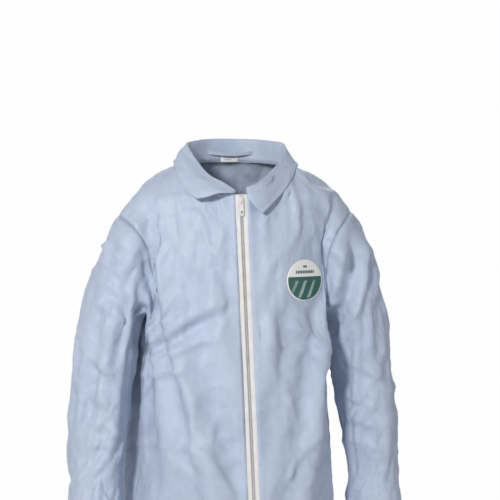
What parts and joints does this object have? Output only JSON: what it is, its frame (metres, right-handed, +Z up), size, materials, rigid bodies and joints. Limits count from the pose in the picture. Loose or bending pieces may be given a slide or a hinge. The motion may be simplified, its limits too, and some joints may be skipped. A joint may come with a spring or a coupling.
{
  "type": "lab coat",
  "caption": "Knee-length protective lab coat in thin nonwoven cloth, with a fold-down shirt collar, set-in sleeves with open wrists and a full separating front zip.",
  "frame": {"origin": "centre of the neck opening, level with the collar seam at the sides of the neck", "axes": "+Z up out of the neck, -Y the way the coat's front faces, +X to the wearer's left"},
  "size_m": [0.6, 0.3449, 1.1028],
  "materials": {
    "blue_cloth": "matt pale blue nonwoven with a fine bonding emboss",
    "zip_tape": "off-white woven polyester tape",
    "zip_coil": "off-white moulded nylon coil",
    "zip_enamel": "white enamel on die-cast metal",
    "badge_film": "printed satin film, green and white",
    "label_cloth": "white satin ribbon"
  },
  "bodies": {
    "coat": {"left_front": "blue_cloth", "right_front": "blue_cloth", "back": "blue_cloth", "left_upper_sleeve": "blue_cloth", "left_elbow_sleeve": "blue_cloth", "right_upper_sleeve": "blue_cloth", "right_elbow_sleeve": "blue_cloth", "collar_stand": "blue_cloth", "collar_leaf": "blue_cloth", "left_zip_tape": "zip_tape", "right_zip_tape": "zip_tape", "left_zip_coil": "zip_coil", "right_zip_coil": "zip_coil", "left_top_stop": "zip_coil", "right_top_stop": "zip_coil", "zip_pin": "zip_coil", "zip_retainer": "zip_coil", "chest_badge": "badge_film", "left_pocket": "blue_cloth", "right_pocket": "blue_cloth", "hanger_loop": "zip_tape", "size_label": "label_cloth"},
    "zip_slider": {"zip_slider": "zip_enamel"},
    "zip_pull": {"zip_pull": "zip_enamel"},
    "left_forearm": {"left_lower_sleeve": "blue_cloth"},
    "right_forearm": {"right_lower_sleeve": "blue_cloth"}
  },
  "joints": [
    {"name": "zip_slide", "type": "slide", "parent": "coat", "child": "zip_slider", "axis": [0.0274, -0.0871, -0.9958], "range_m": [0, 0.7734]},
    {"name": "pull_swing", "type": "hinge", "parent": "zip_slider", "child": "zip_pull", "pos_m": [-0.00871, -0.09944, -0.06565], "axis": [-0.9996, 0, -0.0275], "range_deg": [0, 165]},
    {"name": "left_elbow_bend", "type": "hinge", "parent": "coat", "child": "left_forearm", "pos_m": [0.238, 0.016, -0.39], "axis": [-1, 0, 0], "range_deg": [-10, 70], "deforming": ["left_elbow_sleeve"]},
    {"name": "right_elbow_bend", "type": "hinge", "parent": "coat", "child": "right_forearm", "pos_m": [-0.238, 0.016, -0.39], "axis": [-1, 0, 0], "range_deg": [-10, 70], "deforming": ["right_elbow_sleeve"]}
  ]
}
